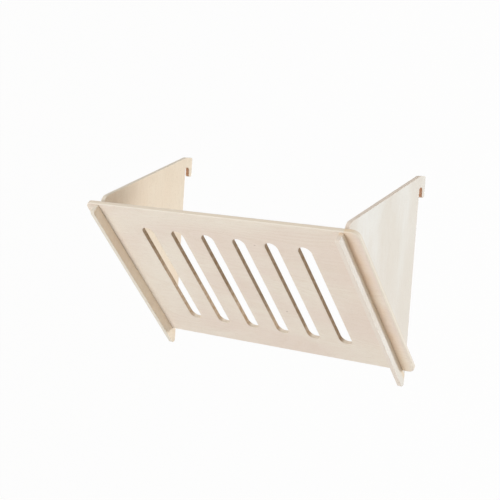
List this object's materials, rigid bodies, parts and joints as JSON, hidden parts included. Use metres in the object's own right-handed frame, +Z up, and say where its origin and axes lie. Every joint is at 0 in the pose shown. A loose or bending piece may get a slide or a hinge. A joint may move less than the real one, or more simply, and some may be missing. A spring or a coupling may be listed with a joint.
{
  "type": "hay feeder",
  "caption": "Plug-together plywood hay feeder with a slotted, outward-leaning front panel and two side panels that hook over a cage wire.",
  "frame": {"origin": "on the hanging line through both hook notches' round tops, midway between the side panels", "axes": "+Z up, +X along the cage wall and the hanging line, +Y rearward into the cage, so the front panel leans out towards -Y"},
  "size_m": [0.3338, 0.164, 0.2156],
  "materials": {
    "birch_plywood": "sanded, untreated"
  },
  "bodies": {
    "side_panels": {"left_side_panel": "birch_plywood", "right_side_panel": "birch_plywood"},
    "front_panel": {"front_panel": "birch_plywood"}
  },
  "joints": [
    {"name": "front_panel_lift", "type": "slide", "parent": "side_panels", "child": "front_panel", "axis": [0, -0.6947, 0.7193], "range_m": [0, 0.21]}
  ]
}
